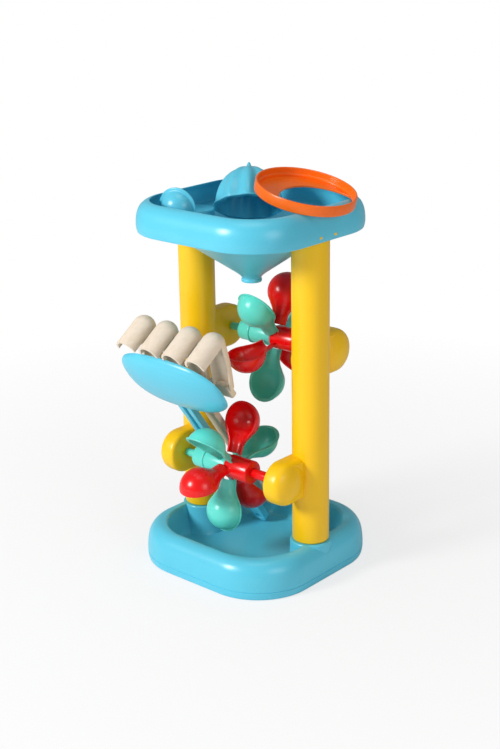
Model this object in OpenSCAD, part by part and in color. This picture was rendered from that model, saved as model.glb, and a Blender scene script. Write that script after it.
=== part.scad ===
// Sand wheel toy: a tray and a hopper joined by two posts, two turning sand wheels between them,
// and the loose tools that come with it. Millimetres, +Z up, origin under the middle of the tray.
// X runs along the axles, -Y is the broad front face that the photograph shows brightest.

/* [Tray] */
// Half of the tray's width at its widest
tray_half = 98; // [80:1:120]
// Radius of the tray's corners at its widest
tray_corner = 62; // [40:1:70]
// Height of the tray's rim
tray_height = 38; // [28:1:50]
// Wall of the tray, the hopper and the funnel
shell_wall = 2.5; // [1.5:0.1:4]
// Half of the tray's opening at the rim
tray_opening_half = 80.5; // [70:0.5:84]
// Radius of the tray opening's corners
tray_opening_corner = 54.5; // [40:0.5:60]
// Height of the tray's floor above the ground
tray_floor_height = 6; // [4:0.5:10]

/* [Posts] */
// Distance of each post's middle from the toy's middle
post_place = 74.5; // [60:0.5:78]
// Radius of the posts
post_radius = 18.5; // [12:0.5:20]
// Height of the hopper's lower edge above the ground
hopper_edge_height = 348; // [300:1:380]
// Radius of the spigot under each post
spigot_radius = 14; // [8:0.5:16]
// Length of the spigot under each post
spigot_length = 18; // [8:1:24]

/* [Axles] */
// Height of the lower axle
lower_axle_height = 108.7; // [100:0.1:120]
// Height of the upper axle
upper_axle_height = 227.8; // [215:0.1:240]
// Distance of each axle from the plane through both posts
axle_offset = 36.6; // [30:0.1:42]
// Radius of the axle pins
axle_radius = 2.5; // [1.5:0.1:4]
// Radius of the round lug that holds an axle
lug_radius = 22.3; // [14:0.1:24]
// Thickness of the lugs
lug_thickness = 19.7; // [8:0.1:20]
// Thickness of the domed cap on each lug
cap_thickness = 6; // [3:0.5:10]

/* [Wheels] */
// Distance of each cup's middle from its axle
cup_reach = 47; // [40:0.5:50]
// Outer radius of a cup
cup_radius = 20; // [12:0.5:21]
// Wall of the cups
cup_wall = 1.8; // [1:0.1:3]
// Width of the flange round a cup's mouth
cup_flange = 1.5; // [1:0.1:2.5]
// Outer radius of the hubs
hub_radius = 12; // [8:0.5:14]

/* [Hopper] */
// Half of the hopper's width at its widest
hopper_half = 96; // [80:1:120]
// Radius of the hopper's corners at its widest
hopper_corner = 58; // [40:1:70]
// Height of the hopper from its lower edge to its rim
hopper_height = 30; // [24:1:45]
// Half of the hopper's opening at the rim
hopper_opening_half = 82; // [70:0.5:86]
// Radius of the funnel's mouth in the hopper's floor
funnel_mouth_radius = 86; // [60:0.5:88]
// Outer radius of the funnel's spout
spout_radius = 9.5; // [6:0.5:14]
// Height of the spout's lower end above the ground
spout_end_height = 294; // [285:1:310]

/* [Shovel] */
// Width of the shovel's blade
blade_width = 132; // [90:1:150]
// Length of the shovel's blade
blade_length = 73.5; // [60:0.5:78]
// Depth of the shovel's blade
blade_depth = 14; // [8:0.5:24]
// Width of the shovel's handle
shovel_handle_width = 18; // [10:0.5:22]

/* [Rake] */
// Outer radius of a rake claw's round channel
claw_radius = 12; // [8:0.5:14]
// Distance from one claw to the next
claw_spacing = 31; // [26:0.5:34]
// Length of a claw in front of its knuckle
claw_length = 31; // [20:1:40]
// Width of the rake's handle
rake_handle_width = 15; // [10:0.5:20]

/* [Sieve and moulds] */
// Outer radius of the sieve ring
sieve_radius = 49; // [35:0.5:52]
// Height of the sieve ring
sieve_height = 10.5; // [6:0.5:14]
// Radius of the shell mould's mouth without its flange
shell_mould_radius = 33; // [18:0.5:36]
// Depth of the shell mould
shell_mould_depth = 42; // [30:1:50]
// Radius of the small mould's mouth without its flange
small_mould_radius = 17; // [12:0.5:20]
// Depth of the small mould
small_mould_depth = 15; // [10:0.5:20]

/* [Hidden] */
$fn = 64;
// Clearance between pieces that lie or slide against each other
gap = 0.3;
// Clearance round a pin in a bore
fit_gap = 0.1;
// Overrun of every cut
over = 1;
// Thickness of the thin discs that outline a rounded body
thin = 0.02;
light_blue = [0.45, 0.82, 0.9];
yellow = [1, 0.85, 0];
red = [0.9, 0.07, 0.07];
teal = [0.3, 0.85, 0.75];
orange = [1, 0.48, 0.08];
beige = [0.9, 0.83, 0.74];
steel = [0.75, 0.76, 0.78];

hopper_top = hopper_edge_height + hopper_height;
hopper_floor_height = hopper_edge_height + 2.6 * shell_wall;
post_top = hopper_floor_height + gap;

// A solid through rounded squares of [height, half width], whose corners share one centre
module rounded_stack(levels, corner_centre) {
    hull()
        for (level = levels, sx = [-1, 1], sy = [-1, 1])
            translate([sx * corner_centre, sy * corner_centre, level[0]])
                cylinder(r = level[1] - corner_centre, h = thin, $fn = 72);
}

// Shares of the body's height and of its shoulder at which the rounded skirt is outlined
skirt_height_shares = [0, 0.18, 0.5, 0.74, 0.89, 0.97, 1];
skirt_shoulder_shares = [0.14, 0, 0.02, 0.2, 0.45, 0.78, 1];

function skirt_levels(bottom, height, half, shoulder, inset) = [
    for (i = [0 : len(skirt_height_shares) - 1])
        [bottom + skirt_height_shares[i] * height, half - inset - shoulder * skirt_shoulder_shares[i]]
];

// Base tray: a rounded skirt, an open tray and a raised collar under each post
tray_shoulder = 13;
tray_taper = 6;
tray_corner_centre = tray_half - tray_corner;
opening_centre = tray_opening_half - tray_opening_corner;
collar_radius = post_radius + 1.2 * shell_wall;
tray_floor_bottom = tray_floor_height - shell_wall;
spigot_end = tray_height + gap - spigot_length;

module tray_bowl(outset, bottom, top) {
    rounded_stack([
        [bottom, tray_opening_half - tray_taper * 1.4 + outset],
        [bottom + tray_taper, tray_opening_half - tray_taper + outset],
        [top, tray_opening_half + outset]
    ], opening_centre);
}

module base_tray() {
    color(light_blue)
    difference() {
        union() {
            difference() {
                rounded_stack(skirt_levels(0, tray_height, tray_half, tray_shoulder, 0), tray_corner_centre);
                difference() {
                    translate([0, 0, -over])
                        rounded_stack(
                            skirt_levels(0, tray_height - shell_wall, tray_half, tray_shoulder, shell_wall),
                            tray_corner_centre
                        );
                    tray_bowl(1.5 * shell_wall, tray_floor_bottom, tray_height);
                }
                tray_bowl(0, tray_floor_height, tray_height + over);
            }
            for (side = [-1, 1])
                translate([side * post_place, 0, tray_floor_bottom])
                    cylinder(r = collar_radius, h = tray_height - gap - tray_floor_bottom);
        }
        for (side = [-1, 1])
            translate([side * post_place, 0, spigot_end - gap])
                cylinder(r = spigot_radius + fit_gap, h = tray_height);
    }
}

// Posts: a round tube with a spigot below, a lug for each axle and two snap tabs at the top
lug_inner_face = post_place - post_radius * 0.77;
lug_outer_face = lug_inner_face + lug_thickness;
pin_end = lug_outer_face - shell_wall;
tab_width = 4;
tab_height = 2.4;
tab_spread = 11;
tab_bottom = post_top - tab_height - gap;

module lug(offset, height) {
    translate([lug_inner_face, offset, height])
        rotate([0, 90, 0])
            cylinder(r = lug_radius, h = lug_thickness);
    translate([lug_inner_face, min(0, offset), height - lug_radius])
        cube([lug_thickness, abs(offset), 2 * lug_radius]);
}

module post() {
    color(yellow)
    difference() {
        union() {
            translate([post_place, 0, tray_height + gap])
                cylinder(r = post_radius, h = post_top - tray_height - gap);
            translate([post_place, 0, spigot_end])
                cylinder(r = spigot_radius, h = spigot_length + over);
            lug(-axle_offset, lower_axle_height);
            lug(axle_offset, upper_axle_height);
            for (side = [-1, 1])
                translate([post_place, side * tab_spread - tab_width / 2, tab_bottom])
                    cube([hopper_half - post_place - gap, tab_width, tab_height]);
        }
        translate([post_place, 0, spigot_end - over])
            cylinder(r = spigot_radius - shell_wall, h = spigot_length + 3 * shell_wall + over);
        translate([post_place, 0, tray_height + 2 * shell_wall])
            cylinder(r = post_radius - shell_wall, h = post_top - gap - tray_height - 3 * shell_wall);
        for (place = [[-axle_offset, lower_axle_height], [axle_offset, upper_axle_height]])
            translate([lug_inner_face - over, place[0], place[1]])
                rotate([0, 90, 0])
                    cylinder(r = axle_radius + fit_gap, h = pin_end + fit_gap - lug_inner_face + over);
    }
}

module right_post() {
    post();
}

module left_post() {
    mirror([1, 0, 0])
        post();
}

// Domed caps on the outer faces of the lugs
cap_radius = axle_offset - post_radius + gap;
cap_edge = cap_thickness * 0.7;

module cap(offset, height) {
    color(yellow)
    translate([lug_outer_face, offset, height])
        rotate([0, 90, 0])
            union() {
                cylinder(r = cap_radius, h = cap_thickness - cap_edge);
                translate([0, 0, cap_thickness - cap_edge])
                    cylinder(r1 = cap_radius, r2 = cap_radius - cap_edge * 0.35, h = cap_edge * 0.55);
                translate([0, 0, cap_thickness - cap_edge * 0.45])
                    cylinder(r1 = cap_radius - cap_edge * 0.35, r2 = cap_radius - cap_edge, h = cap_edge * 0.45);
            }
}

module lower_right_cap() {
    cap(-axle_offset, lower_axle_height);
}

module upper_right_cap() {
    cap(axle_offset, upper_axle_height);
}

module lower_left_cap() {
    mirror([1, 0, 0])
        cap(-axle_offset, lower_axle_height);
}

module upper_left_cap() {
    mirror([1, 0, 0])
        cap(axle_offset, upper_axle_height);
}

// Axle pins, held at both ends in the lugs
module axle(offset, height) {
    color(steel)
    translate([-pin_end, offset, height])
        rotate([0, 90, 0])
            cylinder(r = axle_radius, h = 2 * pin_end);
}

module lower_axle() {
    axle(-axle_offset, lower_axle_height);
}

module upper_axle() {
    axle(axle_offset, upper_axle_height);
}

// Wheels: each has a red half and a teal half, with three cups apiece that alternate round the axle
cup_count = 3;
throat_radius = 9;
throat_reach = hub_radius + throat_radius * 0.9;
hub_half_width = 30;
teal_hub_width = 44;
teal_hub_radius = hub_radius - 1;
sleeve_radius = 5;
wheel_end = lug_inner_face - gap;
neck_share = 0.985;

// A cup's body of revolution along +Y: a ball, a cone and a small ball at the throat
module cup_body(grow) {
    translate([0, cup_reach, 0])
        sphere(r = cup_radius + grow);
    translate([0, throat_reach, 0])
        sphere(r = throat_radius + grow);
    translate([0, throat_reach, 0])
        rotate([-90, 0, 0])
            cylinder(
                r1 = (throat_radius + grow) * neck_share,
                r2 = (cup_radius + grow) * neck_share,
                h = cup_reach - throat_reach
            );
}

// One open cup whose mouth faces +Z, with an optional flange round the mouth
module cup(flange) {
    reach = cup_reach + 2 * cup_radius;
    difference() {
        union() {
            difference() {
                cup_body(0);
                translate([-reach, -reach, 0])
                    cube(2 * reach);
            }
            if (flange > 0)
                intersection() {
                    cup_body(flange);
                    translate([-reach, -reach, -cup_wall])
                        cube([2 * reach, 2 * reach, cup_wall]);
                }
        }
        cup_body(-cup_wall);
    }
}

module axle_tube(radius, start, end) {
    translate([start, 0, 0])
        rotate([0, 90, 0])
            cylinder(r = radius, h = end - start);
}

module red_half(first_angle) {
    color(red)
    difference() {
        union() {
            for (i = [0 : cup_count - 1])
                rotate([first_angle + i * 360 / cup_count, 0, 0])
                    cup(0);
            axle_tube(hub_radius, gap / 2, hub_half_width);
            axle_tube(sleeve_radius, gap / 2, wheel_end);
        }
        axle_tube(teal_hub_radius + gap, -wheel_end, gap / 2);
        axle_tube(axle_radius + fit_gap, -wheel_end, wheel_end + over);
    }
}

module teal_half(first_angle) {
    color(teal)
    difference() {
        union() {
            for (i = [0 : cup_count - 1])
                rotate([first_angle + i * 360 / cup_count, 0, 0])
                    cup(cup_flange);
            axle_tube(teal_hub_radius, -teal_hub_width, -gap / 2);
            axle_tube(sleeve_radius * 0.8, -wheel_end, -gap / 2);
        }
        axle_tube(hub_radius + gap, -gap / 2, wheel_end);
        axle_tube(axle_radius + fit_gap, -wheel_end - over, wheel_end);
    }
}

lower_red_angle = 70;
lower_teal_angle = 20;
upper_red_angle = 112;
upper_teal_angle = 52;

module on_lower_axle() {
    translate([0, -axle_offset, lower_axle_height])
        children();
}

// The upper wheel's cups face the other way round, so its angles are counted from the front
module on_upper_axle() {
    translate([0, axle_offset, upper_axle_height])
        mirror([0, 1, 0])
            children();
}

module lower_red_cups() {
    on_lower_axle()
        red_half(lower_red_angle);
}

module lower_teal_cups() {
    on_lower_axle()
        teal_half(lower_teal_angle);
}

module upper_red_cups() {
    on_upper_axle()
        red_half(upper_red_angle);
}

module upper_teal_cups() {
    on_upper_axle()
        teal_half(upper_teal_angle);
}

// Hopper: a rounded rim and floor with a socket for each post, open into the funnel below
hopper_shoulder = 14;
hopper_corner_centre = hopper_half - hopper_corner;
funnel_split_height = hopper_edge_height - 9 * shell_wall;
spout_bore_radius = spout_radius - 0.8 * shell_wall;
spout_top_height = spout_end_height + 2.8 * shell_wall;
funnel_slope = (funnel_mouth_radius - spout_bore_radius) / (hopper_floor_height - spout_top_height);
cone_thickness = 1.35 * shell_wall;
socket_top = post_top + gap + shell_wall;
socket_radius = post_radius + 0.5 * shell_wall;
socket_bottom = hopper_edge_height + shell_wall;

function cone_radius(height) = spout_bore_radius + funnel_slope * (height - spout_top_height);

module cone_between(start, end, thickness) {
    translate([0, 0, start])
        cylinder(r1 = cone_radius(start) + thickness, r2 = cone_radius(end) + thickness, h = end - start);
}

module hopper_cavity() {
    rounded_stack([
        [hopper_floor_height, hopper_half - 1.2 * shell_wall],
        [hopper_edge_height + 0.6 * hopper_height, hopper_half - 1.7 * shell_wall],
        [hopper_edge_height + 0.8 * hopper_height, hopper_half - 3.2 * shell_wall],
        [hopper_top + over, hopper_opening_half]
    ], hopper_corner_centre);
}

module hopper_underside() {
    rounded_stack([
        [hopper_edge_height - over, hopper_half - 1.6 * shell_wall],
        [hopper_floor_height - shell_wall, hopper_half - 1.2 * shell_wall]
    ], hopper_corner_centre);
}

module hopper() {
    color(light_blue)
    difference() {
        union() {
            difference() {
                union() {
                    difference() {
                        rounded_stack(
                            skirt_levels(hopper_edge_height, hopper_height, hopper_half, hopper_shoulder, 0),
                            hopper_corner_centre
                        );
                        hopper_cavity();
                        hopper_underside();
                    }
                    cone_between(funnel_split_height, hopper_floor_height, cone_thickness);
                }
                cone_between(funnel_split_height - over, hopper_floor_height + over, 0);
            }
            intersection() {
                for (side = [-1, 1])
                    translate([side * post_place, 0, funnel_split_height + over])
                        cylinder(r = socket_radius, h = socket_top - funnel_split_height - over);
                union() {
                    cone_between(funnel_split_height, hopper_floor_height - gap, 0.8 * cone_thickness);
                    translate([-hopper_half, -hopper_half, socket_bottom])
                        cube([2 * hopper_half, 2 * hopper_half, socket_top]);
                }
            }
        }
        for (side = [-1, 1])
            translate([side * post_place, 0, funnel_split_height - over])
                cylinder(r = post_radius + fit_gap, h = post_top + gap - funnel_split_height + over);
        for (side = [-1, 1], across = [-1, 1])
            translate([
                side * (hopper_half + post_place) / 2,
                across * tab_spread,
                tab_bottom + tab_height / 2
            ])
                cube([hopper_half - post_place + 2 * over, tab_width + 2 * gap, tab_height + 2 * gap], center = true);
    }
}

// Funnel: the hopper's cone below its socket level, with a short spout
module funnel() {
    color(light_blue)
    rotate_extrude()
        polygon([
            [spout_bore_radius, spout_end_height],
            [spout_radius, spout_end_height],
            [spout_radius, spout_top_height - shell_wall],
            [cone_radius(spout_top_height) + cone_thickness, spout_top_height],
            [cone_radius(funnel_split_height) + cone_thickness, funnel_split_height],
            [cone_radius(funnel_split_height), funnel_split_height],
            [spout_bore_radius, spout_top_height]
        ]);
}

// Share tables and counts of the rounded bowls that the blade and the moulds are cut from
bowl_rings = 6;
bowl_sides = 60;

function outline_share(value, power) = sign(value) * pow(abs(value), power);

function bowl_point(angle, rise, half_x, half_y, depth, power, flutes, flute_share) =
    let(reach = cos(rise) * (1 + flute_share * cos(flutes * angle)))
    [
        half_x * outline_share(cos(angle), power) * reach,
        half_y * outline_share(sin(angle), power) * reach,
        depth * sin(rise)
    ];

// A solid bowl with its mouth in the plane z = 0, bulging to +Z, with a lip of the same outline below
module bowl_solid(half_x, half_y, depth, power, flutes, flute_share, lip) {
    ring = [for (i = [0 : bowl_sides - 1]) i * 360 / bowl_sides];
    lip_points = [
        for (angle = ring)
            bowl_point(angle, 0, half_x, half_y, depth, power, flutes, flute_share) - [0, 0, lip]
    ];
    wall_points = [
        for (j = [0 : bowl_rings - 1], angle = ring)
            bowl_point(angle, j * 90 / bowl_rings, half_x, half_y, depth, power, flutes, flute_share)
    ];
    points = concat(lip_points, wall_points, [[0, 0, depth], [0, 0, -lip]]);
    apex = len(points) - 2;
    middle = len(points) - 1;
    top_ring = bowl_rings * bowl_sides;
    function next(i) = (i + 1) % bowl_sides;
    faces = concat(
        [
            for (j = [0 : bowl_rings - 1], i = [0 : bowl_sides - 1])
                [j * bowl_sides + i, (j + 1) * bowl_sides + i, (j + 1) * bowl_sides + next(i)]
        ],
        [
            for (j = [0 : bowl_rings - 1], i = [0 : bowl_sides - 1])
                [j * bowl_sides + i, (j + 1) * bowl_sides + next(i), j * bowl_sides + next(i)]
        ],
        [for (i = [0 : bowl_sides - 1]) [top_ring + i, apex, top_ring + next(i)]],
        [for (i = [0 : bowl_sides - 1]) [middle, i, next(i)]]
    );
    polyhedron(points = points, faces = faces, convexity = 6);
}

// Tools lean through the frame: local X runs across them, +Y towards the blade, +Z out of its back
tool_tilt = 35;
tool_left = 34.6;
tool_forward = 14.3;
tool_rise = 54.2;
tool_place = [-tool_left, -axle_offset - tool_forward, lower_axle_height + tool_rise];
blade_start = 11.5;
blade_power = 0.8;
blade_wall = 2;
shovel_handle_thickness = 7;
// The handle reaches down to the tray's floor
handle_room = tool_place[2] - tray_floor_height - gap - shovel_handle_thickness * sin(tool_tilt);
shovel_handle_length = handle_room / cos(tool_tilt);
handle_slot_width = 5;
hang_hole_radius = 4;

module in_tool_frame() {
    translate(tool_place)
        rotate([90 + tool_tilt, 0, 0])
            children();
}

// A flat handle with a round end and a hang hole, lying between two local heights
module handle(width, length, start, thickness) {
    difference() {
        union() {
            translate([-width / 2, -length + width / 2, start])
                cube([width, length - width / 2, thickness]);
            translate([0, -length + width / 2, start])
                cylinder(r = width / 2, h = thickness);
        }
        translate([0, -length + width / 2, start - over])
            cylinder(r = hang_hole_radius, h = thickness + 2 * over);
    }
}

module shovel() {
    color(light_blue)
    in_tool_frame()
        difference() {
            union() {
                translate([0, blade_start + blade_length / 2, 0])
                    bowl_solid(blade_width / 2, blade_length / 2, blade_depth, blade_power, 0, 0, 0);
                handle(shovel_handle_width, shovel_handle_length, 0, shovel_handle_thickness);
                translate([-shovel_handle_width / 2, -over, 0])
                    cube([shovel_handle_width, blade_start + 3 * shovel_handle_thickness, shovel_handle_thickness]);
            }
            translate([0, blade_start + blade_length / 2, 0])
                bowl_solid(
                    blade_width / 2 - blade_wall,
                    blade_length / 2 - blade_wall,
                    blade_depth - blade_wall,
                    blade_power, 0, 0, over
                );
            translate([
                -handle_slot_width / 2,
                -shovel_handle_length + 2 * shovel_handle_width,
                shovel_handle_thickness / 2
            ])
                cube([
                    handle_slot_width,
                    shovel_handle_length - 2 * shovel_handle_width,
                    shovel_handle_thickness
                ]);
        }
}

// Rake: four bent half-round claws whose tips rest on the shovel's leading edge
claw_count = 4;
claw_wall = 2.2;
rake_offset = 4;
rake_handle_thickness = 7;
rake_handle_start = -20;
rake_tail_room = 4;
rake_handle_length = shovel_handle_length - rake_tail_room;
claw_seat = blade_start + blade_length + gap;
claw_tip = 1;
claw_root = [40, -12];
head_length = 18;
head_width = (claw_count - 1) * claw_spacing + claw_radius;

// The claw's bent axis seen from the side, as [along the tool, out of its back]
knuckle = [claw_seat, claw_tip - claw_length];
rear_run = claw_root - knuckle;
rear_length = norm(rear_run);
rear_angle = atan2(rear_run[1], rear_run[0]);

module claw_body(radius, tip_extra) {
    translate([0, knuckle[0], knuckle[1]])
        sphere(r = radius, $fn = 40);
    translate([0, knuckle[0], knuckle[1]])
        cylinder(r = radius, h = claw_length + tip_extra, $fn = 40);
    translate([0, knuckle[0], knuckle[1]])
        rotate([rear_angle - 90, 0, 0])
            cylinder(r = radius, h = rear_length + tip_extra, $fn = 40);
}

module claw() {
    reach = 3 * rear_length;
    difference() {
        claw_body(claw_radius, 0);
        claw_body(claw_radius - claw_wall, over);
        rotate([90, 0, 90])
            translate([0, 0, -2 * claw_radius])
                linear_extrude(4 * claw_radius)
                    polygon([
                        knuckle,
                        knuckle + [0, reach],
                        knuckle + [-reach, reach],
                        knuckle + reach / rear_length * rear_run
                    ]);
    }
}

module rake() {
    color(beige)
    in_tool_frame()
        translate([rake_offset, 0, 0]) {
            for (i = [0 : claw_count - 1])
                translate([(i - (claw_count - 1) / 2) * claw_spacing, 0, 0])
                    claw();
            translate([-head_width / 2, claw_root[0] - head_length + claw_wall, rake_handle_start])
                cube([head_width, head_length, rake_handle_thickness]);
            translate([-rake_offset, 0, 0])
                handle(rake_handle_width, rake_handle_length, rake_handle_start, rake_handle_thickness);
            translate([-rake_offset - rake_handle_width / 2, -over, rake_handle_start])
                cube([rake_handle_width, claw_root[0], rake_handle_thickness]);
        }
}

// Sieve ring: a band with a crescent of floor on its raised side
sieve_wall = 2.2;
sieve_floor_thickness = 2;
sieve_tilt = 14;
sieve_place = [60, 11, 389.3];
sieve_cut_radius = 0.82 * sieve_radius;
sieve_cut_offset = 0.41 * sieve_radius;

module sieve_ring() {
    color(orange)
    translate(sieve_place)
        rotate([0, sieve_tilt, 0])
            translate([0, 0, -sieve_height / 2])
                difference() {
                    cylinder(r = sieve_radius, h = sieve_height, $fn = 96);
                    translate([0, 0, sieve_floor_thickness])
                        cylinder(r = sieve_radius - sieve_wall, h = sieve_height, $fn = 96);
                    intersection() {
                        translate([sieve_cut_offset, 0, -over])
                            cylinder(r = sieve_cut_radius, h = sieve_height, $fn = 96);
                        translate([0, 0, -over])
                            cylinder(r = sieve_radius - sieve_wall, h = sieve_height, $fn = 96);
                    }
                }
}

// Moulds: bowls with a flange round the mouth
mould_wall = 1.8;
mould_flange = 3;
shell_flutes = 10;
shell_flute_share = 0.05;
shell_tip_radius = 6;
shell_mould_place = [-24.6, 25.5, 360.5];
shell_mould_turn = [0, 33, 130];
small_mould_place = [-55.8, -43.5, 368.3];
small_mould_turn = [0, 95.5, -73.8];

module shell_mould() {
    color(light_blue)
    translate(shell_mould_place)
        rotate(shell_mould_turn)
            difference() {
                union() {
                    bowl_solid(
                        shell_mould_radius, shell_mould_radius, shell_mould_depth,
                        1, shell_flutes, shell_flute_share, 0
                    );
                    cylinder(r = shell_mould_radius + mould_flange, h = mould_wall);
                    translate([0, 0, shell_mould_depth - shell_tip_radius])
                        cylinder(r1 = shell_tip_radius, r2 = mould_wall / 2, h = 2 * shell_tip_radius);
                }
                bowl_solid(
                    shell_mould_radius - mould_wall, shell_mould_radius - mould_wall,
                    shell_mould_depth - mould_wall, 1, shell_flutes, shell_flute_share, over
                );
            }
}

module small_mould() {
    color(light_blue)
    translate(small_mould_place)
        rotate(small_mould_turn)
            difference() {
                union() {
                    bowl_solid(small_mould_radius, small_mould_radius, small_mould_depth, 1, 0, 0, 0);
                    cylinder(r = small_mould_radius + mould_flange, h = mould_wall);
                }
                bowl_solid(
                    small_mould_radius - mould_wall, small_mould_radius - mould_wall,
                    small_mould_depth - mould_wall, 1, 0, 0, over
                );
            }
}

base_tray();
left_post();
right_post();
lower_left_cap();
lower_right_cap();
upper_left_cap();
upper_right_cap();
lower_axle();
upper_axle();
lower_red_cups();
lower_teal_cups();
upper_red_cups();
upper_teal_cups();
hopper();
funnel();
shovel();
rake();
sieve_ring();
shell_mould();
small_mould();
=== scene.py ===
"""Dresses the packed sand wheel toy: smooth moulded pieces, a pale floor and soft light."""

import math

import bmesh
import bpy
from mathutils import Matrix, Vector


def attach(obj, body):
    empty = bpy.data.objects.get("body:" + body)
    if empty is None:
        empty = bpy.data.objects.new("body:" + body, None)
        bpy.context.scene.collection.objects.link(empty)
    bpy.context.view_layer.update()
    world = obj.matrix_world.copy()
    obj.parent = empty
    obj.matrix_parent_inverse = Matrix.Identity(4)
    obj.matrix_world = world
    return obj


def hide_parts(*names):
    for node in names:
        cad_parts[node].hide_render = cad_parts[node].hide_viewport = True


MM = 0.001

# Sizes that part.scad also uses, in millimetres
POST_PLACE = 74.5
POST_RADIUS = 18.5
HOPPER_EDGE = 348.0
LOWER_AXLE = Vector((0.0, -36.6, 108.7))
UPPER_AXLE = Vector((0.0, 36.6, 227.8))
LUG_INNER = 60.26
LUG_OUTER = 79.96
LUG_RADIUS = 22.3
LUG_ROOT = 7.3
SLEEVE_END = 59.95
SOCKET_RADIUS = 19.75
SOCKET_WALL_TOP = 354.8
HOPPER_FLOOR = 352.0
FUNNEL_SPLIT = 301.0
FUNNEL_NARROW = 9.2
FUNNEL_SLOPE = 1.467
CUP_REACH = 47.0
CUP_RADIUS = 20.0
CUP_WALL = 1.8
TOOL_PLACE = (-34.6, -50.9, 162.9)
TOOL_TILT = 35
BLADE_LENGTH = 73.5
BLADE_WIDTH = 132.0
BLADE_DEPTH = 14.0
BLADE_WALL = 1.9
BLADE_START = 11.5
SHOVEL_END = -186.3
RAKE_END = -182.3
CLAW_RADIUS = 12.0
CLAW_WALL = 2.2
CLAW_PITCH = 31
CLAW_MIDDLE = 4
SIEVE_PLACE = (60, 11, 389.3)
SIEVE_TILT = 14
SHELL_MOULD_PLACE = (-24.6, 25.5, 360.5)
SHELL_MOULD_TURN = (0, 33, 130)
SMALL_MOULD_PLACE = (-55.8, -43.5, 368.3)
SMALL_MOULD_TURN = (0, 95.5, -73.8)

# The camera that was fitted to the photograph: pixels, degrees, millimetres and metres
FOCAL_PIXELS = 1400
IMAGE_HEIGHT = 749
VIEW_TARGET = (-1.7, -2.8, 196.7)
VIEW_DISTANCE = 1.4131

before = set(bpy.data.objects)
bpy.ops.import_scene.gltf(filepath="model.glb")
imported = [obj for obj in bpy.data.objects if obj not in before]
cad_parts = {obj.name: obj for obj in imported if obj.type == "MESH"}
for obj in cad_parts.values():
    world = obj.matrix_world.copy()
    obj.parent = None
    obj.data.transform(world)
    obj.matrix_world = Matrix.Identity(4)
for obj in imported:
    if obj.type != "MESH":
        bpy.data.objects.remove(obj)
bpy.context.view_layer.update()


# Small mesh tools. Points are in millimetres and become metres when the object is made.

def make_object(name, points, faces, matrix=None, sharp=38):
    """A smooth-shaded mesh object from points in millimetres."""
    mesh = bpy.data.meshes.new(name)
    place = matrix or Matrix.Identity(4)
    mesh.from_pydata([tuple((place @ Vector(p)) * MM) for p in points], [], faces)
    return finish_mesh(name, mesh, sharp)


def finish_mesh(name, mesh, sharp=38):
    work = bmesh.new()
    work.from_mesh(mesh)
    bmesh.ops.remove_doubles(work, verts=work.verts, dist=0.00001)
    bmesh.ops.recalc_face_normals(work, faces=work.faces)
    work.to_mesh(mesh)
    work.free()
    mesh.polygons.foreach_set("use_smooth", [True] * len(mesh.polygons))
    mesh.set_sharp_from_angle(angle=math.radians(sharp))
    obj = bpy.data.objects.new(name, mesh)
    bpy.context.scene.collection.objects.link(obj)
    return obj


def grid_faces(rows, columns, wrap_rows=False, wrap_columns=True, start=0):
    """Quads between successive rows of points."""
    faces = []
    for i in range(rows if wrap_rows else rows - 1):
        for j in range(columns if wrap_columns else columns - 1):
            a, b = i % rows, (i + 1) % rows
            c, d = j, (j + 1) % columns
            faces.append((
                start + a * columns + c,
                start + a * columns + d,
                start + b * columns + d,
                start + b * columns + c,
            ))
    return faces


def curve_through(points, steps=5):
    """A smooth line through points, Catmull-Rom with `steps` pieces between neighbours."""
    out = []
    last = len(points) - 1
    for i in range(last):
        p0 = Vector(points[max(i - 1, 0)])
        p1 = Vector(points[i])
        p2 = Vector(points[i + 1])
        p3 = Vector(points[min(i + 2, last)])
        for s in range(steps):
            t = s / steps
            out.append(0.5 * (
                2 * p1
                + (p2 - p0) * t
                + (2 * p0 - 5 * p1 + 4 * p2 - p3) * t * t
                + (3 * p1 - p0 - 3 * p2 + p3) * t * t * t
            ))
    out.append(Vector(points[-1]))
    return out


def lathe(profile, sides=96):
    """Points and faces of a body of revolution about Z from (radius, height) pairs."""
    points, faces, rows = [], [], []
    for radius, height in profile:
        row = []
        for j in range(sides):
            a = 2 * math.pi * j / sides
            row.append(len(points))
            points.append((radius * math.cos(a), radius * math.sin(a), height))
        rows.append(row)
    for a, b in zip(rows, rows[1:]):
        for j in range(sides):
            k = (j + 1) % sides
            faces.append((a[j], a[k], b[k], b[j]))
    return points, faces


def lathe_ring(profile, sides=96):
    """As lathe, but the profile is a closed loop."""
    return lathe(list(profile) + [profile[0]], sides)


def along_x(centre, flip=False):
    """A matrix that lays a body turned about Z along X at `centre`."""
    turn = Matrix.Rotation(math.radians(-90 if flip else 90), 4, "Y")
    return Matrix.Translation(centre) @ turn


def merge(parts):
    """Joins (points, faces, matrix) triples into one list of points and faces."""
    points, faces = [], []
    for part_points, part_faces, matrix in parts:
        start = len(points)
        points += [tuple(matrix @ Vector(p)) for p in part_points]
        faces += [tuple(start + i for i in face) for face in part_faces]
    return points, faces


def round_box(low, high, radius, segments=3):
    """Points and faces of a box with rounded edges."""
    work = bmesh.new()
    bmesh.ops.create_cube(work, size=1)
    low, high = Vector(low), Vector(high)
    for v in work.verts:
        v.co = Vector(low[i] + (v.co[i] + 0.5) * (high[i] - low[i]) for i in range(3))
    bmesh.ops.bevel(
        work, geom=list(work.edges), offset=radius, segments=segments, profile=0.5, affect="EDGES"
    )
    points = [tuple(v.co) for v in work.verts]
    work.verts.index_update()
    faces = [tuple(v.index for v in f.verts) for f in work.faces]
    work.free()
    return points, faces


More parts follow.
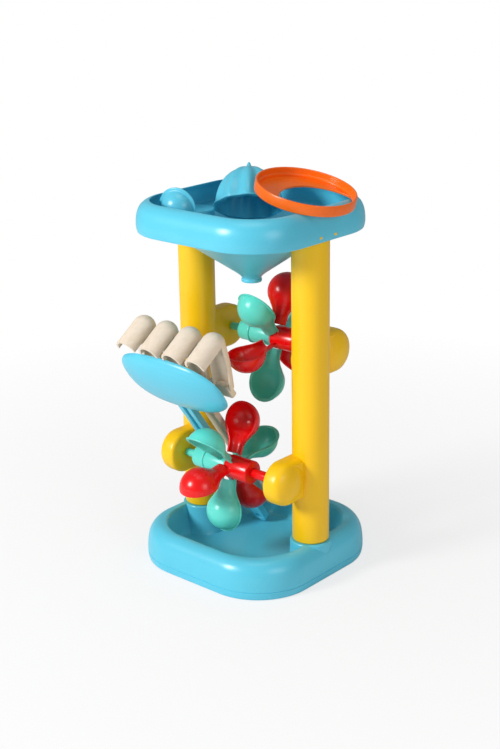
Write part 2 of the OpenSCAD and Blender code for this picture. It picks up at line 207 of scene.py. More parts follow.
def plate(outline, holes, low, high, radius):
    """Points and faces of a flat plate with rounded edges, from loops of (x, y) points."""
    data = bpy.data.curves.new("plate", "CURVE")
    data.dimensions = "2D"
    data.fill_mode = "BOTH"
    data.extrude = (high - low) / 2 - radius
    data.bevel_depth = radius
    data.bevel_resolution = 3
    data.offset = -radius
    for loop in [outline] + holes:
        spline = data.splines.new("POLY")
        spline.points.add(len(loop) - 1)
        for point, (x, y) in zip(spline.points, loop):
            point.co = (x, y, 0, 1)
        spline.use_cyclic_u = True
    obj = bpy.data.objects.new("plate", data)
    bpy.context.scene.collection.objects.link(obj)
    graph = bpy.context.evaluated_depsgraph_get()
    mesh = bpy.data.meshes.new_from_object(obj.evaluated_get(graph))
    points = [(v.co.x, v.co.y, v.co.z + (low + high) / 2) for v in mesh.vertices]
    faces = [tuple(f.vertices) for f in mesh.polygons]
    bpy.data.objects.remove(obj)
    bpy.data.curves.remove(data)
    bpy.data.meshes.remove(mesh)
    return points, faces


def bar_outline(width, start, end, count=20):
    """A bar along Y with a round end at `start` and a square end at `end`."""
    r = width / 2
    loop = [(r * math.cos(a), start + r + r * math.sin(a)) for a in
            [math.pi + math.pi * i / count for i in range(count + 1)]]
    return loop + [(r, end), (-r, end)]


def circle(x, y, r, count=32):
    return [(x + r * math.cos(2 * math.pi * i / count), y + r * math.sin(2 * math.pi * i / count))
            for i in range(count)]


def slot_outline(width, start, end, count=10):
    r = width / 2
    low = [(r * math.cos(a), start + r + r * math.sin(a)) for a in
           [math.pi + math.pi * i / count for i in range(count + 1)]]
    top = [(r * math.cos(a), end - r + r * math.sin(a)) for a in
           [math.pi * i / count for i in range(count + 1)]]
    return low + top


def bevel(obj, width, segments=2, angle=40):
    """Rounds sharp edges of an object and applies the result."""
    mod = obj.modifiers.new("bevel", "BEVEL")
    mod.width = width * MM
    mod.segments = segments
    mod.limit_method = "ANGLE"
    mod.angle_limit = math.radians(angle)
    mod.harden_normals = False
    bpy.context.view_layer.update()
    graph = bpy.context.evaluated_depsgraph_get()
    mesh = bpy.data.meshes.new_from_object(obj.evaluated_get(graph))
    obj.modifiers.clear()
    old = obj.data
    obj.data = mesh
    mesh.polygons.foreach_set("use_smooth", [True] * len(mesh.polygons))
    mesh.set_sharp_from_angle(angle=math.radians(45))
    bpy.data.meshes.remove(old)
    return obj


# Materials

def noise_node(nodes, scale, detail, coordinates, links, roughness=0.5):
    node = nodes.new("ShaderNodeTexNoise")
    node.inputs["Scale"].default_value = scale
    node.inputs["Detail"].default_value = detail
    node.inputs["Roughness"].default_value = roughness
    links.new(coordinates, node.inputs["Vector"])
    return node


def ramp_node(nodes, links, source, low, high, start=0.3, end=0.7):
    node = nodes.new("ShaderNodeValToRGB")
    node.color_ramp.elements[0].position = start
    node.color_ramp.elements[0].color = (*low, 1)
    node.color_ramp.elements[1].position = end
    node.color_ramp.elements[1].color = (*high, 1)
    links.new(source, node.inputs["Fac"])
    return node


def linear(red, green, blue):
    """An sRGB colour in 0 to 255 as linear values."""
    def one(v):
        v /= 255
        return v / 12.92 if v <= 0.04045 else ((v + 0.055) / 1.055) ** 2.4
    return one(red), one(green), one(blue)


def plastic(name, colour, variation=0.05, rough=0.3, rough_spread=0.08, bump=0.06, coat=0.0, soft=0.0):
    """Moulded plastic: faint flow marks in the colour, fine texture in roughness and bump."""
    material = bpy.data.materials.new(name)
    material.use_nodes = True
    nodes, links = material.node_tree.nodes, material.node_tree.links
    shader = nodes["Principled BSDF"]
    place = nodes.new("ShaderNodeTexCoord").outputs["Object"]
    flow = noise_node(nodes, 22, 3, place, links)
    low = tuple(c * (1 - variation) for c in colour)
    high = tuple(min(1, c * (1 + variation)) for c in colour)
    tint = ramp_node(nodes, links, flow.outputs["Fac"], low, high)
    links.new(tint.outputs["Color"], shader.inputs["Base Color"])
    haze = noise_node(nodes, 90, 4, place, links)
    spread = nodes.new("ShaderNodeMapRange")
    spread.inputs["To Min"].default_value = rough - rough_spread
    spread.inputs["To Max"].default_value = rough + rough_spread
    links.new(haze.outputs["Fac"], spread.inputs["Value"])
    links.new(spread.outputs["Result"], shader.inputs["Roughness"])
    fine = noise_node(nodes, 900, 2, place, links)
    dent = nodes.new("ShaderNodeBump")
    dent.inputs["Strength"].default_value = bump
    dent.inputs["Distance"].default_value = 0.0002
    links.new(fine.outputs["Fac"], dent.inputs["Height"])
    links.new(dent.outputs["Normal"], shader.inputs["Normal"])
    shader.inputs["Coat Weight"].default_value = coat
    shader.inputs["Coat Roughness"].default_value = 0.15
    if soft:
        shader.inputs["Subsurface Weight"].default_value = soft
        shader.inputs["Subsurface Radius"].default_value = (0.6, 1.0, 1.0)
        shader.inputs["Subsurface Scale"].default_value = 0.003
    return material


def wood_plastic(name, colour, streak):
    """Plastic with plant fibre: long faint streaks and a satin surface."""
    material = plastic(name, colour, 0.03, 0.5, 0.05, 0.04)
    nodes, links = material.node_tree.nodes, material.node_tree.links
    shader = nodes["Principled BSDF"]
    place = nodes.new("ShaderNodeTexCoord").outputs["Object"]
    stretch = nodes.new("ShaderNodeMapping")
    stretch.inputs["Rotation"].default_value = (math.radians(35), 0, 0)
    stretch.inputs["Scale"].default_value = (1, 0.12, 1)
    links.new(place, stretch.inputs["Vector"])
    fibre = noise_node(nodes, 260, 4, stretch.outputs["Vector"], links, 0.6)
    links.new(
        ramp_node(nodes, links, fibre.outputs["Fac"], streak, colour, 0.36, 0.56).outputs["Color"],
        shader.inputs["Base Color"],
    )
    return material


def brushed(name, colour):
    material = plastic(name, colour, 0.06, 0.32, 0.08, 0.1)
    shader = material.node_tree.nodes["Principled BSDF"]
    shader.inputs["Metallic"].default_value = 1
    return material


BLUE = plastic("light_blue_plastic", linear(92, 200, 226), 0.015, 0.3, 0.04, 0.03, soft=0.08)
YELLOW = plastic("yellow_plastic", linear(255, 200, 0), 0.015, 0.34, 0.04, 0.03, soft=0.08)
RED = plastic("red_plastic", linear(236, 8, 11), 0.02, 0.26, 0.04, 0.03, soft=0.04)
TEAL = plastic("teal_plastic", linear(98, 222, 207), 0.015, 0.3, 0.04, 0.03, soft=0.08)
ORANGE = plastic("orange_plastic", linear(255, 112, 14), 0.02, 0.3, 0.04, 0.03, soft=0.06)
BEIGE = wood_plastic("beige_fibre_plastic", linear(238, 220, 200), linear(232, 213, 191))
STEEL = brushed("axle_steel", linear(200, 202, 206))


def dress(obj, material, body, slot, *nodes):
    """Gives a piece its material and its body, and hides the CAD nodes that it stands for."""
    obj.data.materials.clear()
    obj.data.materials.append(material)
    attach(obj, body)
    if nodes:
        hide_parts(*nodes)
    return obj


# Tray and hopper: rings of one rounded square, from the middle out and back

def square_reach(half, centre, angle):
    """Distance from the middle to a rounded square, whose corner arcs are centred at +-centre."""
    c, s = abs(math.cos(angle)), abs(math.sin(angle))
    if c < s:
        c, s = s, c
    if half * s <= centre * c:
        return half / c
    radius = half - centre
    return centre * (c + s) + math.sqrt(max(radius * radius - centre * centre * (c - s) ** 2, 0))


def square_rings(levels, sides=192):
    points = []
    for half, height, centre in levels:
        for j in range(sides):
            a = 2 * math.pi * j / sides
            reach = square_reach(half, centre, a) if centre > 0 else half
            points.append((reach * math.cos(a), reach * math.sin(a), height))
    return points


def levels_through(points, centre, steps=4):
    """Smooth levels through (half, height) pairs with one corner centre."""
    return [(p[0], p[1], centre) for p in curve_through([(h, z, 0) for h, z in points], steps)]


def make_tray():
    sides = 192
    levels = [(0.0, 6.0, 0), (30, 6.0, 0), (60, 6.0, 12), (68.0, 6.0, 24), (70.6, 6.2, 26)]
    levels += levels_through(
        [(72.2, 7.2), (73.4, 9.6), (74.6, 13), (76.0, 20), (78.4, 30), (79.9, 35.6)], 26, 3
    )
    levels += levels_through([(80.3, 36.9), (80.9, 37.7), (82.0, 38.0)], 28, 2)[1:]
    levels += levels_through(
        [(85.0, 37.9), (88.0, 36.9), (91.4, 34.5), (94.2, 30.8), (96.2, 26), (97.4, 19.5), (98.0, 12.0)],
        36, 4,
    )
    levels += [
        (98.0, 9.2, 36), (98.0, 8.8, 36), (97.5, 8.5, 36),
        (97.5, 8.0, 36), (98.0, 7.7, 36), (98.0, 7.0, 36),
    ]
    levels += levels_through([(97.7, 4.4), (97.1, 1.6), (96.6, 0.5), (95.9, 0.0)], 36, 3)
    levels += [(94.6, 0.0, 36), (93.9, 0.4, 36)]
    levels += levels_through([(95.2, 7.5), (95.0, 19), (93.0, 27), (89.6, 32.5), (85.4, 34.8)], 36, 3)
    levels += [(83.2, 35.2, 34), (81.6, 34.4, 30)]
    levels += levels_through([(80.6, 30), (78.4, 20), (77.0, 12), (75.6, 6.6), (73.6, 4.2)], 28, 3)
    levels += [(70, 3.5, 26), (60, 3.5, 12), (30, 3.5, 0), (0.0, 3.5, 0)]
    points = square_rings(levels, sides)
    faces = grid_faces(len(levels), sides)
    parts = [(points, faces, Matrix.Identity(4))]
    for side in (-1, 1):
        collar = [
            (14.1, 20.2), (14.1, 37.2), (14.8, 37.9), (15.6, 38.05), (19.6, 38.05),
            (20.5, 37.8), (21.0, 37.1), (21.2, 30), (21.6, 12), (22.8, 8),
            (23.6, 5.9), (16, 5.4), (14.1, 6.2),
        ]
        parts.append((*lathe_ring(collar, 72), Matrix.Translation((side * POST_PLACE, 0, 0))))
    tray = make_object("tray", *merge(parts), sharp=32)
    return dress(tray, BLUE, "frame", "light_blue", "base_tray")


def socket(side):
    """A post's socket: a low cap on the hopper's floor whose wall runs down to the funnel's cone."""
    count = 96
    cap = [(0.0, 357.6), (17.2, 357.6), (18.9, 357.2), (19.6, 356.2), (SOCKET_RADIUS, SOCKET_WALL_TOP)]
    points, _ = lathe(cap + [(SOCKET_RADIUS, 0.0), (SOCKET_RADIUS - 1.2, 0.0)], count)
    for i in range(len(cap) * count, len(points)):
        x, y, _ = points[i]
        reach = math.hypot(x + side * POST_PLACE, y)
        cone = FUNNEL_SPLIT + (reach - FUNNEL_NARROW) / FUNNEL_SLOPE
        points[i] = (x, y, min(HOPPER_FLOOR, cone))
    faces = grid_faces(len(cap) + 2, count)
    return points, faces, Matrix.Translation((side * POST_PLACE, 0, 0))


def make_hopper():
    sides = 192
    edge = HOPPER_EDGE
    outer = levels_through(
        [
            (82.4, edge + 30.0), (85.6, edge + 29.2), (89.2, edge + 27.0), (92.4, edge + 23.6),
            (94.6, edge + 18.6), (95.7, edge + 13.0), (96.0, edge + 6.4), (95.4, edge + 2.2),
        ],
        38, 4,
    )
    levels = outer + [
        (94.9, edge + 0.5, 38), (94.2, edge, 38), (93.1, edge + 0.1, 38), (92.5, edge + 0.8, 38),
    ]
    levels += levels_through([(92.3, edge + 2.6), (91.4, edge + 3.9), (89.0, edge + 4.2)], 38, 2)
    levels += [(r, z, 0) for r, z, _ in curve_through(
        [(86.6, 351.3, 0), (80, 347.9, 0), (64, 337.1, 0), (48, 326.2, 0), (32, 315.3, 0), (20, 307.1, 0),
         (14.4, 303.2, 0), (11.4, 300.6, 0), (9.9, 298.8, 0), (9.5, 297.6, 0)], 3)]
    levels += [(10.0, 297.2, 0), (10.2, 296.6, 0), (10.2, 295.0, 0), (9.9, 294.2, 0), (9.3, 294.0, 0),
               (8.2, 294.1, 0), (7.6, 294.7, 0)]
    levels += [(r, z, 0) for r, z, _ in curve_through(
        [(7.5, 298, 0), (7.9, 301.2, 0), (11.0, 303.9, 0), (26, 314.0, 0), (46, 327.6, 0), (66, 341.2, 0),
         (80, 350.7, 0), (85.0, 353.6, 0)], 3)]
    levels += [(86.6, 354.3, 8), (88.4, 354.6, 36)]
    levels += levels_through(
        [
            (90.8, 355.0), (92.4, 356.8), (92.8, 360.0), (92.2, 366),
            (90.2, 371.0), (86.4, 374.8), (82.6, 376.9),
        ],
        38, 4,
    )
    levels += [(82.0, 377.4, 38), (81.95, 377.8, 38)]
    points = square_rings(levels, sides)
    faces = grid_faces(len(levels), sides, wrap_rows=True)
    parts = [(points, faces, Matrix.Identity(4))]
    for side in (-1, 1):
        parts.append(socket(side))
    hopper = make_object("hopper_and_funnel", *merge(parts), sharp=32)
    return dress(hopper, BLUE, "frame", "light_blue", "hopper", "funnel")


def make_post(side):
    r = POST_RADIUS
    column = curve_through([(0.0, 38.3, 0), (r - 2.4, 38.3, 0)], 1)
    column += [Vector(p) for p in [(r - 0.9, 38.6, 0), (r - 0.2, 39.3, 0), (r, 40.4, 0)]]
    column += [Vector((r, z, 0)) for z in (60, 120, 180, 240, 300, 345)]
    column += [Vector(p) for p in [(r, 353.6, 0), (r - 0.4, 354.5, 0), (r - 1.3, 354.8, 0), (0.0, 354.8, 0)]]
    spigot = [(0.0, 20.4), (12.6, 20.4), (13.7, 20.9), (14.0, 22.0), (14.0, 39.0), (0.0, 39.0)]
    parts = [
        (*lathe([(p[0], p[1]) for p in column], 96), Matrix.Translation((side * POST_PLACE, 0, 0))),
        (*lathe(spigot, 72), Matrix.Translation((side * POST_PLACE, 0, 0))),
    ]
    depth = LUG_OUTER - LUG_INNER
    puck = [
        (2.6, 7), (2.6, 0.3), (3.2, 0.0), (LUG_RADIUS - 4.0, 0.0), (LUG_RADIUS - 2.4, 0.25),
        (LUG_RADIUS - 1.1, 1.0), (LUG_RADIUS - 0.3, 2.3), (LUG_RADIUS, 4.0), (LUG_RADIUS, depth - 8.4),
        (LUG_RADIUS - 0.2, depth - 6.2), (LUG_RADIUS - 0.7, depth - 4.2), (LUG_RADIUS - 1.5, depth - 2.5),
        (LUG_RADIUS - 2.6, depth - 1.05), (LUG_RADIUS - 3.9, depth), (0.0, depth), (0.0, 8.0), (2.6, 7.6),
    ]
    for axle in (LOWER_AXLE, UPPER_AXLE):
        place = along_x(Vector((side * LUG_INNER, axle.y, axle.z)), flip=side < 0)
        points, faces = lathe(puck, 96)
        inward = (LUG_ROOT - abs(axle.y)) * (1 if axle.y > 0 else -1)
        points = [
            (x, y + inward if y * axle.y < 0 and math.hypot(x, y) > 4 else y, z)
            for x, y, z in points
        ]
        parts.append((points, faces, place))
    for across in (-1, 1):
        low = (side * 80 if side > 0 else -96.3, across * 11 - 2, 352.1)
        high = (96.3 if side > 0 else -80, across * 11 + 2, 354.5)
        parts.append((*round_box(low, high, 0.5, 2), Matrix.Identity(4)))
    name = "right" if side > 0 else "left"
    post = make_object(name + "_post_tube", *merge(parts), sharp=36)
    return dress(post, YELLOW, "frame", "yellow", name + "_post")


def make_cap(side, axle, name):
    dome = curve_through(
        [
            (18.4, 0.0, 0), (17.2, 0.85, 0), (15.2, 2.05, 0), (12.6, 3.3, 0),
            (9.2, 4.5, 0), (5.0, 5.5, 0), (0.0, 6.0, 0),
        ],
        4,
    )
    profile = [(0.0, -0.4), (18.0, -0.4)] + [(p[0], p[1]) for p in dome]
    place = along_x(Vector((side * LUG_OUTER, axle.y, axle.z)), flip=side < 0)
    obj = make_object(name + "_dome", *merge([(*lathe(profile, 96), place)]), sharp=40)
    return dress(obj, YELLOW, "frame", "yellow", name)


# Wheels

def cup_profile(inset, steps=4):
    """(along, radius) of the cup's body: a neck that widens into a ball."""
    ball = CUP_RADIUS - inset
    neck = 9.0 - inset
    line = [(12.4 + 0.4 * inset, neck - 0.4), (18, neck - 0.1), (22.5, neck + 0.3)]
    line += [(27.5, neck + 2.1), (32.0, neck + 5.0)]
    for a in (132, 116, 100, 84, 68, 52, 38, 25, 12, 4):
        t = math.radians(a)
        line.append((CUP_REACH + ball * math.cos(t), ball * math.sin(t)))
    line.append((CUP_REACH + ball, 0.0))
    return [(p[0], p[1]) for p in curve_through([(y, r, 0) for y, r in line], steps)]


def cup_shell(flange):
    """One open cup along +Y with its mouth towards +Z: the lower half of a shell, closed along its rim."""
    outer, inner = cup_profile(0), cup_profile(CUP_WALL)
    turns = 30
    points, faces = [], []

    def half(profile, flip):
        start = len(points)
        for along, radius in profile:
            for j in range(turns + 1):
                a = math.pi + math.pi * j / turns
                points.append((radius * math.cos(a), along, radius * math.sin(a)))
        quads = grid_faces(len(profile), turns + 1, wrap_columns=False, start=start)
        faces.extend([tuple(reversed(q)) if flip else q for q in quads])
        return start

    out_start, in_start = half(outer, False), half(inner, True)
    count = min(len(outer), len(inner))
    for i in range(count - 1):
        for edge in (0, turns):
            a = out_start + i * (turns + 1) + edge
            b = out_start + (i + 1) * (turns + 1) + edge
            c = in_start + (i + 1) * (turns + 1) + edge
            d = in_start + i * (turns + 1) + edge
            faces.append((a, b, c, d))
    for j in range(turns):
        faces.append((out_start + j, out_start + j + 1, in_start + j + 1, in_start + j))
    if flange:
        wide = cup_profile(-flange)
        for side in (-1, 1):
            start = len(points)
            thick = CUP_WALL * 0.9
            rows = []
            for (y0, r0), (y1, r1) in zip(outer, wide):
                rows.append([
                    (side * (r0 - 1.0 if r0 > 1 else 0), y0, -0.02),
                    (side * (r1 - 0.3 if r1 > 0.3 else 0), y1, -0.02),
                    (side * r1, y1, -0.35),
                    (side * r1, y1, -thick + 0.35),
                    (side * (r1 - 0.3 if r1 > 0.3 else 0), y1, -thick),
                    (side * (r0 - 1.0 if r0 > 1 else 0), y0, -thick),
                ])
            for row in rows:
                points.extend(row)
            faces.extend(grid_faces(len(rows), 6, start=start))
            faces.append(tuple(start + k for k in range(6)))
    return points, faces


def hollow_profile(radius, bore, start, end, edge=0.8):
    return [
        (bore, start + 0.3), (bore + 0.3, start),
        (radius - edge, start), (radius - 0.3 * edge, start + 0.3 * edge), (radius, start + edge),
        (radius, end - edge), (radius - 0.3 * edge, end - 0.3 * edge), (radius - edge, end),
        (bore + 0.3, end), (bore, end - 0.3),
    ]


def make_wheel_half(name, axle, angles, mirrored, teal, body):
    """Three cups with hub and sleeve. Angles are counted from +Y, and mirrored wheels from -Y."""
    parts = []
    shell = cup_shell(1.5 if teal else 0)
    flip = Matrix.Scale(-1, 4, Vector((0, 1, 0))) if mirrored else Matrix.Identity(4)
    centre = Matrix.Translation(axle)
    for angle in angles:
        parts.append((*shell, centre @ flip @ Matrix.Rotation(math.radians(angle), 4, "X")))
    turn = centre @ Matrix.Rotation(math.radians(90), 4, "Y")
    if teal:
        parts.append((*lathe_ring(hollow_profile(11.0, 2.6, -44.0, -0.15, 1.2), 72), turn))
        parts.append((*lathe_ring(hollow_profile(4.0, 2.6, -SLEEVE_END, -43.0, 0.5), 48), turn))
        parts.append((*lathe_ring(hollow_profile(12.2, 10.2, -31.0, -28.0, 0.8), 72), turn))
    else:
        parts.append((*lathe_ring(hollow_profile(12.0, 2.6, 0.15, 30.0, 1.2), 72), turn))
        parts.append((*lathe_ring(hollow_profile(5.0, 2.6, 29.0, SLEEVE_END, 0.5), 48), turn))
    obj = make_object(name + "_shells", *merge(parts), sharp=40)
    bevel(obj, 0.45, 2, 55)
    material, slot = (TEAL, "teal") if teal else (RED, "red")
    return dress(obj, material, body, slot, name)


# Tools: local X runs across them, +Y towards the blade, +Z out of the blade's back

TOOL = Matrix.Translation(TOOL_PLACE) @ Matrix.Rotation(math.radians(90 + TOOL_TILT), 4, "X")


def bowl_rows(half_x, half_y, depth, power, flutes, share, rings, sides, rise_power=1.0):
    rows = []
    for j in range(rings + 1):
        rise = math.pi / 2 * (j / rings) ** rise_power
        row = []
        for i in range(sides):
            a = 2 * math.pi * i / sides
            reach = (math.cos(rise) if j < rings else 0.0) * (1 + share * math.cos(flutes * a))
            c, s = math.cos(a), math.sin(a)
            row.append((
                half_x * math.copysign(abs(c) ** power, c) * reach,
                half_y * math.copysign(abs(s) ** power, s) * reach,
                depth * math.sin(rise),
            ))
        rows.append(row)
    return rows


def shell_from_rows(outer, inner):
    """A thin bowl between two sets of rows that both start at the rim."""
    sides = len(outer[0])
    rows = list(reversed(inner)) + outer
    points = [p for row in rows for p in row]
    return points, grid_faces(len(rows), sides)


def make_shovel():
    half_x, half_y = BLADE_WIDTH / 2, BLADE_LENGTH / 2
    outer = bowl_rows(half_x, half_y, BLADE_DEPTH, 0.8, 0, 0, 22, 120)
    inner = bowl_rows(half_x - BLADE_WALL, half_y - BLADE_WALL, BLADE_DEPTH - BLADE_WALL, 0.8, 0, 0, 22, 120)
    rim = [[(x * 0.985, y * 0.98, -0.35) for x, y, _ in outer[0]]]
    blade = shell_from_rows(rim + outer, inner)
    shift = Matrix.Translation((0, BLADE_START + half_y, 0))
    bar = bar_outline(18, SHOVEL_END, 29)
    hole = circle(0, SHOVEL_END + 9, 4)
    low = plate(bar, [hole], 0.0, 4.0, 0.9)
    high = plate(bar, [hole, slot_outline(5, SHOVEL_END + 36, 20)], 3.2, 7.0, 0.9)
    parts = [(*blade, TOOL @ shift), (*low, TOOL), (*high, TOOL)]
    obj = make_object("shovel_scoop_and_handle", *merge(parts), sharp=40)
    return dress(obj, BLUE, "shovel", "light_blue", "shovel")


def claw_shell(offset):
    """A half-round channel along a bent line: up from the tip, over the knuckle and down to the root."""
    tip, knuckle, root = Vector((85.3, 1.0)), Vector((85.3, -30.0)), Vector((40.0, -12.0))
    rear = (root - knuckle).normalized()
    normal_start = Vector((1.0, 0.0))
    normal_end = Vector((-rear.y, rear.x))
    if normal_end.dot(Vector((0, -1))) < 0:
        normal_end = -normal_end
    angle_start = math.atan2(normal_start.y, normal_start.x)
    angle_end = math.atan2(normal_end.y, normal_end.x)
    stations = []
    for i in range(9):
        stations.append((tip.lerp(knuckle, i / 8), angle_start))
    for i in range(1, 14):
        stations.append((knuckle, angle_start + (angle_end - angle_start) * i / 14))
    for i in range(1, 11):
        t = i / 10
        bow = normal_end * (1.2 * math.sin(math.pi * t))
        stations.append((knuckle.lerp(root, t) + bow, angle_end))
    turns = 24
    rows = []
    for radius in (CLAW_RADIUS, CLAW_RADIUS - CLAW_WALL):
        for centre, angle in stations:
            out = Vector((math.cos(angle), math.sin(angle)))
            row = []
            for j in range(turns + 1):
                a = math.pi * j / turns
                across = radius * math.cos(a)
                up = radius * math.sin(a)
                row.append((offset + across, centre.x + out.x * up, centre.y + out.y * up))
            rows.append(row)
    count = len(stations)
    columns = turns + 1
    points = [p for row in rows for p in row]
    faces = grid_faces(count, columns, wrap_columns=False)
    inside = grid_faces(count, columns, wrap_columns=False, start=count * columns)
    faces += [tuple(reversed(q)) for q in inside]
    for edge, side in ((0, 1), (turns, -1)):
        lip = len(points)
        for centre, angle in stations:
            points.append((
                offset + side * (CLAW_RADIUS - CLAW_WALL / 2),
                centre.x - math.cos(angle) * 0.6,
                centre.y - math.sin(angle) * 0.6,
            ))
        for i in range(count - 1):
            a, b = i * columns + edge, (i + 1) * columns + edge
            faces.append((a, b, lip + i + 1, lip + i))
            faces.append((lip + i, lip + i + 1, b + count * columns, a + count * columns))
    for i in (0, count - 1):
        for j in range(turns):
            a = i * columns + j
            faces.append((a, a + 1, a + 1 + count * columns, a + count * columns))
    return points, faces


def make_rake():
    parts = [(*claw_shell(CLAW_MIDDLE + (i - 1.5) * CLAW_PITCH), TOOL) for i in range(4)]
    parts.append((*round_box((-48.5, 24.2, -20), (56.5, 42.2, -13), 1.6, 3), TOOL))
    bar = bar_outline(15, RAKE_END, 40)
    parts.append((*plate(bar, [circle(0, RAKE_END + 7.5, 4)], -20, -13, 1.4), TOOL))
    obj = make_object("rake_claws_and_handle", *merge(parts), sharp=40)
    return dress(obj, BEIGE, "rake", "beige", "rake")


def make_sieve():
    r, h = 49.0, 10.5
    loop = [
        (r - 2.2, 0.6), (r - 1.8, 0.0), (r - 0.5, 0.0), (r - 0.1, 0.4), (r, 1.0),
        (r, h - 1.0), (r - 0.3, h - 0.3), (r - 1.0, h), (r - 1.6, h - 0.1), (r - 2.2, h - 0.7),
        (r - 2.3, 5.0), (r - 3.2, 4.4), (r - 3.4, 3.9), (r - 3.3, 1.4), (r - 3.0, 0.9),
    ]
    place = Matrix.Translation(SIEVE_PLACE) @ Matrix.Rotation(math.radians(SIEVE_TILT), 4, "Y")
    place = place @ Matrix.Translation((0, 0, -h / 2))
    cut_r, cut_x = 0.82 * r, 0.41 * r
    wall = r - 2.0
    meet_x = (wall * wall - cut_r * cut_r + cut_x * cut_x) / (2 * cut_x)
    meet_y = math.sqrt(wall * wall - meet_x * meet_x)
    outer_from, outer_to = math.atan2(meet_y, meet_x), 2 * math.pi - math.atan2(meet_y, meet_x)
    cut_from = math.atan2(-meet_y, meet_x - cut_x) % (2 * math.pi)
    cut_to = math.atan2(meet_y, meet_x - cut_x) % (2 * math.pi)
    outline = [(wall * math.cos(a), wall * math.sin(a)) for a in
               [outer_from + (outer_to - outer_from) * i / 60 for i in range(61)]]
    outline += [(cut_x + cut_r * math.cos(a), cut_r * math.sin(a)) for a in
                [cut_from + (cut_to - cut_from) * i / 40 for i in range(1, 40)]]
    floor = plate(outline, [], 0.0, 2.0, 0.4)
    parts = [(*lathe_ring(loop, 144), place), (*floor, place)]
    obj = make_object("sieve_band_and_floor", *merge(parts), sharp=38)
    return dress(obj, ORANGE, "sieve_ring", "orange", "sieve_ring")


def turned(angles):
    """A turn about X, then Y, then Z, in degrees."""
    x, y, z = (math.radians(a) for a in angles)
    return Matrix.Rotation(z, 4, "Z") @ Matrix.Rotation(y, 4, "Y") @ Matrix.Rotation(x, 4, "X")


def make_shell_mould():
    place = Matrix.Translation(SHELL_MOULD_PLACE) @ turned(SHELL_MOULD_TURN)
    outer = bowl_rows(33, 33, 42, 1, 10, 0.05, 26, 120)
    inner = bowl_rows(31.2, 31.2, 40.2, 1, 10, 0.05, 26, 120)
    rim = []
    flange = [(31.6, 0.0), (35.2, 0.0), (35.9, 0.3), (36.0, 0.9), (35.8, 1.5), (35.2, 1.8), (34.0, 1.9)]
    for reach, height in flange:
        row = []
        for i in range(120):
            a = 2 * math.pi * i / 120
            wave = 1 + 0.018 * (math.cos(10 * a) - 1)
            row.append((reach * wave * math.cos(a), reach * wave * math.sin(a), height))
        rim.append(row)
    skin = [row for row in outer if row[0][2] > 2.4]
    bowl = shell_from_rows(rim + skin, [row for row in inner if row[0][2] > 1.0 or row is inner[0]])
    tip = [
        (5.6, 36.2), (4.9, 38.4), (3.7, 41.0), (2.5, 43.8),
        (1.6, 46.2), (1.0, 47.5), (0.5, 47.95), (0.0, 48.0),
    ]
    parts = [(*bowl, place), (*lathe([(0.0, 34.0), (5.9, 34.4)] + tip, 48), place)]
    obj = make_object("shell_mould_cup", *merge(parts), sharp=42)
    return dress(obj, BLUE, "shell_mould", "light_blue", "shell_mould")


def make_small_mould():
    place = Matrix.Translation(SMALL_MOULD_PLACE) @ turned(SMALL_MOULD_TURN)
    outer = bowl_rows(17, 17, 15, 1, 0, 0, 20, 96)
    inner = bowl_rows(15.2, 15.2, 13.2, 1, 0, 0, 20, 96)
    flange = [(15.4, 0.0), (19.4, 0.0), (19.9, 0.4), (20.0, 0.9), (19.8, 1.5), (19.3, 1.8), (18.0, 1.85)]
    rim = [[(x, y, height) for x, y in circle(0, 0, reach, 96)] for reach, height in flange]
    skin = [row for row in outer if row[0][2] > 2.2]
    bowl = shell_from_rows(rim + skin, inner)
    obj = make_object("small_mould_cup", *merge([(*bowl, place)]), sharp=42)
    return dress(obj, BLUE, "small_mould", "light_blue", "small_mould")


make_tray()
make_hopper()
for side in (-1, 1):
    make_post(side)
for side, side_name in ((-1, "left"), (1, "right")):
    make_cap(side, LOWER_AXLE, "lower_" + side_name + "_cap")
    make_cap(side, UPPER_AXLE, "upper_" + side_name + "_cap")
make_wheel_half("lower_red_cups", LOWER_AXLE, (70, 190, 310), False, False, "lower_wheel")
make_wheel_half("lower_teal_cups", LOWER_AXLE, (20, 140, 260), False, True, "lower_wheel")
make_wheel_half("upper_red_cups", UPPER_AXLE, (112, 232, 352), True, False, "upper_wheel")
make_wheel_half("upper_teal_cups", UPPER_AXLE, (52, 172, 292), True, True, "upper_wheel")
make_shovel()
make_rake()
make_sieve()
make_shell_mould()
make_small_mould()
for name in ("lower_axle", "upper_axle"):
    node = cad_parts[name]
    for place in node.material_slots:
        place.material = STEEL


# Camera at the photograph's viewing angle

AZIMUTH, ELEVATION, ROLL = math.radians(41.5), math.radians(19.0), math.radians(-0.9)
toward = Vector((
    math.sin(AZIMUTH) * math.cos(ELEVATION), -math.cos(AZIMUTH) * math.cos(ELEVATION), math.sin(ELEVATION),
))
level = Vector((math.cos(AZIMUTH), math.sin(AZIMUTH), 0))
upward = toward.cross(level)
across = level * math.cos(ROLL) + upward * math.sin(ROLL)
raised = toward.cross(across)
lens = bpy.data.cameras.new("camera")
lens.sensor_width = 36
lens.lens = FOCAL_PIXELS / IMAGE_HEIGHT * lens.sensor_width
lens.clip_start = 0.05
lens.clip_end = 50
camera = bpy.data.objects.new("camera", lens)
bpy.context.scene.collection.objects.link(camera)
spot = Vector(VIEW_TARGET) * MM + toward * VIEW_DISTANCE
camera.matrix_world = Matrix((
    (across.x, raised.x, toward.x, spot.x),
    (across.y, raised.y, toward.y, spot.y),
    (across.z, raised.z, toward.z, spot.z),
    (0, 0, 0, 1),
))
bpy.context.scene.camera = camera


# Floor, world and lamps

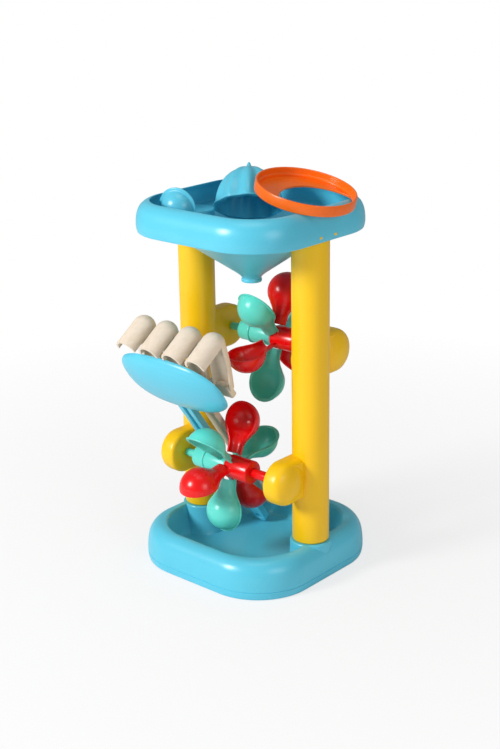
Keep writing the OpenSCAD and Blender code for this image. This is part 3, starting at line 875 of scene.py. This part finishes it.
def make_floor():
    size = 16.0
    mesh = bpy.data.meshes.new("floor")
    corners = [(-size, -size, 0), (size, -size, 0), (size, size, 0), (-size, size, 0)]
    mesh.from_pydata(corners, [], [(0, 1, 2, 3)])
    floor = bpy.data.objects.new("floor", mesh)
    floor.location.z = -0.0003
    bpy.context.scene.collection.objects.link(floor)
    material = bpy.data.materials.new("floor_white")
    material.use_nodes = True
    nodes, links = material.node_tree.nodes, material.node_tree.links
    nodes.clear()
    output = nodes.new("ShaderNodeOutputMaterial")
    diffuse = nodes.new("ShaderNodeBsdfDiffuse")
    diffuse.inputs["Color"].default_value = (0.9, 0.9, 0.9, 1)
    glow = nodes.new("ShaderNodeEmission")
    glow.inputs["Color"].default_value = (1, 1, 1, 1)
    path = nodes.new("ShaderNodeLightPath")
    where = nodes.new("ShaderNodeNewGeometry").outputs["Position"]
    distance = nodes.new("ShaderNodeVectorMath")
    distance.operation = "LENGTH"
    links.new(where, distance.inputs[0])
    fade = nodes.new("ShaderNodeMapRange")
    fade.inputs["From Min"].default_value = 0.15
    fade.inputs["From Max"].default_value = 0.8
    fade.inputs["To Min"].default_value = 0.72
    fade.inputs["To Max"].default_value = 1.0
    links.new(distance.outputs["Value"], fade.inputs["Value"])
    share = nodes.new("ShaderNodeMath")
    share.operation = "MULTIPLY"
    mix = nodes.new("ShaderNodeMixShader")
    links.new(path.outputs["Is Camera Ray"], share.inputs[0])
    links.new(fade.outputs["Result"], share.inputs[1])
    links.new(share.outputs["Value"], mix.inputs["Fac"])
    links.new(diffuse.outputs["BSDF"], mix.inputs[1])
    links.new(glow.outputs["Emission"], mix.inputs[2])
    links.new(mix.outputs["Shader"], output.inputs["Surface"])
    mesh.materials.append(material)


def make_world():
    world = bpy.data.worlds.new("studio")
    bpy.context.scene.world = world
    world.use_nodes = True
    nodes, links = world.node_tree.nodes, world.node_tree.links
    nodes.clear()
    output = nodes.new("ShaderNodeOutputWorld")
    room = nodes.new("ShaderNodeBackground")
    room.inputs["Color"].default_value = (1, 1, 1, 1)
    room.inputs["Strength"].default_value = 0.3
    white = nodes.new("ShaderNodeBackground")
    white.inputs["Color"].default_value = (1, 1, 1, 1)
    path = nodes.new("ShaderNodeLightPath")
    mix = nodes.new("ShaderNodeMixShader")
    links.new(path.outputs["Is Camera Ray"], mix.inputs["Fac"])
    links.new(room.outputs["Background"], mix.inputs[1])
    links.new(white.outputs["Background"], mix.inputs[2])
    links.new(mix.outputs["Shader"], output.inputs["Surface"])


def make_lamp(name, place, aim, size, power):
    data = bpy.data.lights.new(name, "AREA")
    data.shape = "DISK"
    data.size = size
    data.energy = power
    lamp = bpy.data.objects.new(name, data)
    lamp.location = place
    lamp.rotation_mode = "QUATERNION"
    lamp.rotation_quaternion = (Vector(aim) - Vector(place)).to_track_quat("-Z", "Y")
    bpy.context.scene.collection.objects.link(lamp)


make_floor()
make_world()
make_lamp("key", (-0.7, -1.9, 1.15), (0, 0, 0.2), 0.6, 38)
make_lamp("top", (0.1, -0.2, 1.9), (0, 0, 0.2), 0.9, 4)
make_lamp("side", (1.9, -0.5, 0.9), (0, 0, 0.2), 1.0, 8)
bpy.context.scene.view_settings.view_transform = "Standard"
